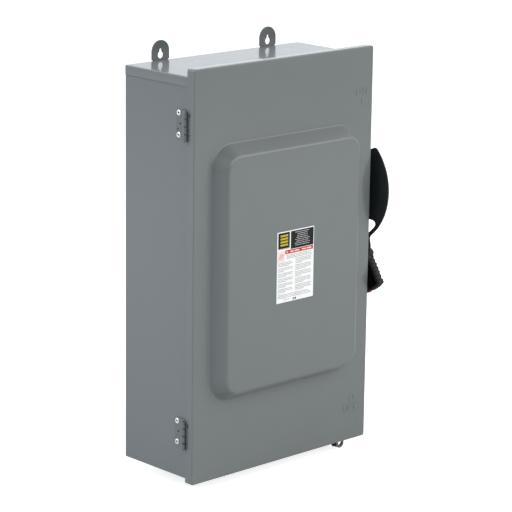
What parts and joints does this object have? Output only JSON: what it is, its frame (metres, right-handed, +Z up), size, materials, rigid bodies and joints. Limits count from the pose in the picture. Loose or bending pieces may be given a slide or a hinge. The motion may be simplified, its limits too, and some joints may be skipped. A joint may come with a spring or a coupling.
{
  "type": "ac disconnect box",
  "caption": "Wall-mounted fused disconnect box with a hinged door, an outside side handle and a blade switch coupled to it inside.",
  "frame": {"origin": "on the wall plane, at the centre of the door's width and height", "axes": "+Z up, +Y into the wall, +X to the right as the door is faced, the side with the handle"},
  "size_m": [0.4668, 0.2254, 0.7835],
  "materials": {
    "grey_enamel": "semi-gloss grey powder coat",
    "zinc_plate": "bright zinc plate",
    "black_steel": "satin black paint",
    "grip_rubber": "moulded dark grey rubber with finger ridges",
    "red_plastic": "moulded red plastic",
    "spring_steel": "oiled spring steel",
    "black_moulding": "moulded insulating plastic",
    "tinned_metal": "tin-plated aluminium",
    "copper": "bare copper",
    "grey_fibre": "pressed fibre sheet",
    "fuse_tube": "fibre fuse tube with plated ends",
    "clear_shield": "clear polycarbonate sheet",
    "label_paper": "printed film label"
  },
  "bodies": {
    "root": {"enclosure_wrap": "grey_enamel", "top_end_cap": "grey_enamel", "bottom_end_wall": "grey_enamel", "knockout_1": "grey_enamel", "knockout_2": "grey_enamel", "knockout_3": "grey_enamel", "mounting_lug_left": "grey_enamel", "mounting_lug_right": "grey_enamel", "hinge_body_leaf_upper": "grey_enamel", "hinge_pin_upper": "zinc_plate", "hinge_rivet_upper_top": "zinc_plate", "hinge_rivet_upper_bottom": "zinc_plate", "hinge_body_leaf_lower": "grey_enamel", "hinge_pin_lower": "zinc_plate", "hinge_rivet_lower_top": "zinc_plate", "hinge_rivet_lower_bottom": "zinc_plate", "body_hasp": "grey_enamel", "handle_bearing_plate": "black_steel", "mechanism_housing": "zinc_plate", "drive_spring": "spring_steel", "line_base": "black_moulding", "fuse_base": "black_moulding", "line_lug_A": "tinned_metal", "arc_shield_A": "grey_fibre", "hinge_clip_A": "copper", "load_lug_A": "tinned_metal", "fuse_A": "fuse_tube", "line_lug_B": "tinned_metal", "arc_shield_B": "grey_fibre", "hinge_clip_B": "copper", "load_lug_B": "tinned_metal", "fuse_B": "fuse_tube", "line_lug_C": "tinned_metal", "arc_shield_C": "grey_fibre", "hinge_clip_C": "copper", "load_lug_C": "tinned_metal", "fuse_C": "fuse_tube", "line_shield": "clear_shield", "neutral_block": "black_moulding", "neutral_bar": "tinned_metal", "ground_bar": "tinned_metal"},
    "door": {"door_panel": "grey_enamel", "rating_label": "label_paper", "wiring_label": "label_paper", "interlock_catch": "zinc_plate", "door_hasp": "grey_enamel", "hinge_door_leaf_upper": "grey_enamel", "hinge_door_leaf_lower": "grey_enamel"},
    "handle": {"handle_plate": "black_steel", "handle_grip": "grip_rubber", "handle_grip_insert": "red_plastic", "handle_bolt": "zinc_plate", "handle_shaft": "zinc_plate", "drive_crank": "zinc_plate"},
    "blades": {"crossbar": "black_moulding", "blade_A": "copper", "blade_B": "copper", "blade_C": "copper"},
    "interlock": {"interlock_lever": "zinc_plate"},
    "latch": {"latch_plunger": "black_steel"}
  },
  "joints": [
    {"name": "door_hinge", "type": "hinge", "parent": "root", "child": "door", "pos_m": [-0.2222, -0.1727, 0], "axis": [0, 0, -1], "range_deg": [0, 170]},
    {"name": "handle_turn", "type": "hinge", "parent": "root", "child": "handle", "pos_m": [0.2325, -0.114, 0.1], "axis": [-1, 0, 0], "range_deg": [0, 136]},
    {"name": "blade_swing", "type": "hinge", "parent": "root", "child": "blades", "pos_m": [-0.03, -0.062, 0.06], "axis": [-1, 0, 0], "range_deg": [0, 58]},
    {"name": "interlock_turn", "type": "hinge", "parent": "root", "child": "interlock", "pos_m": [0.1813, -0.138, 0.15], "axis": [-1, 0, 0], "range_deg": [0, 30]},
    {"name": "latch_slide", "type": "slide", "parent": "door", "child": "latch", "axis": [-1, 0, 0], "range_m": [0, 0.004], "stiffness_N_per_m": 50}
  ],
  "couplings": [
    {"joint": "blade_swing", "follows": "handle_turn", "ratio": 0.42647},
    {"joint": "interlock_turn", "follows": "handle_turn", "ratio": 0.22058}
  ]
}
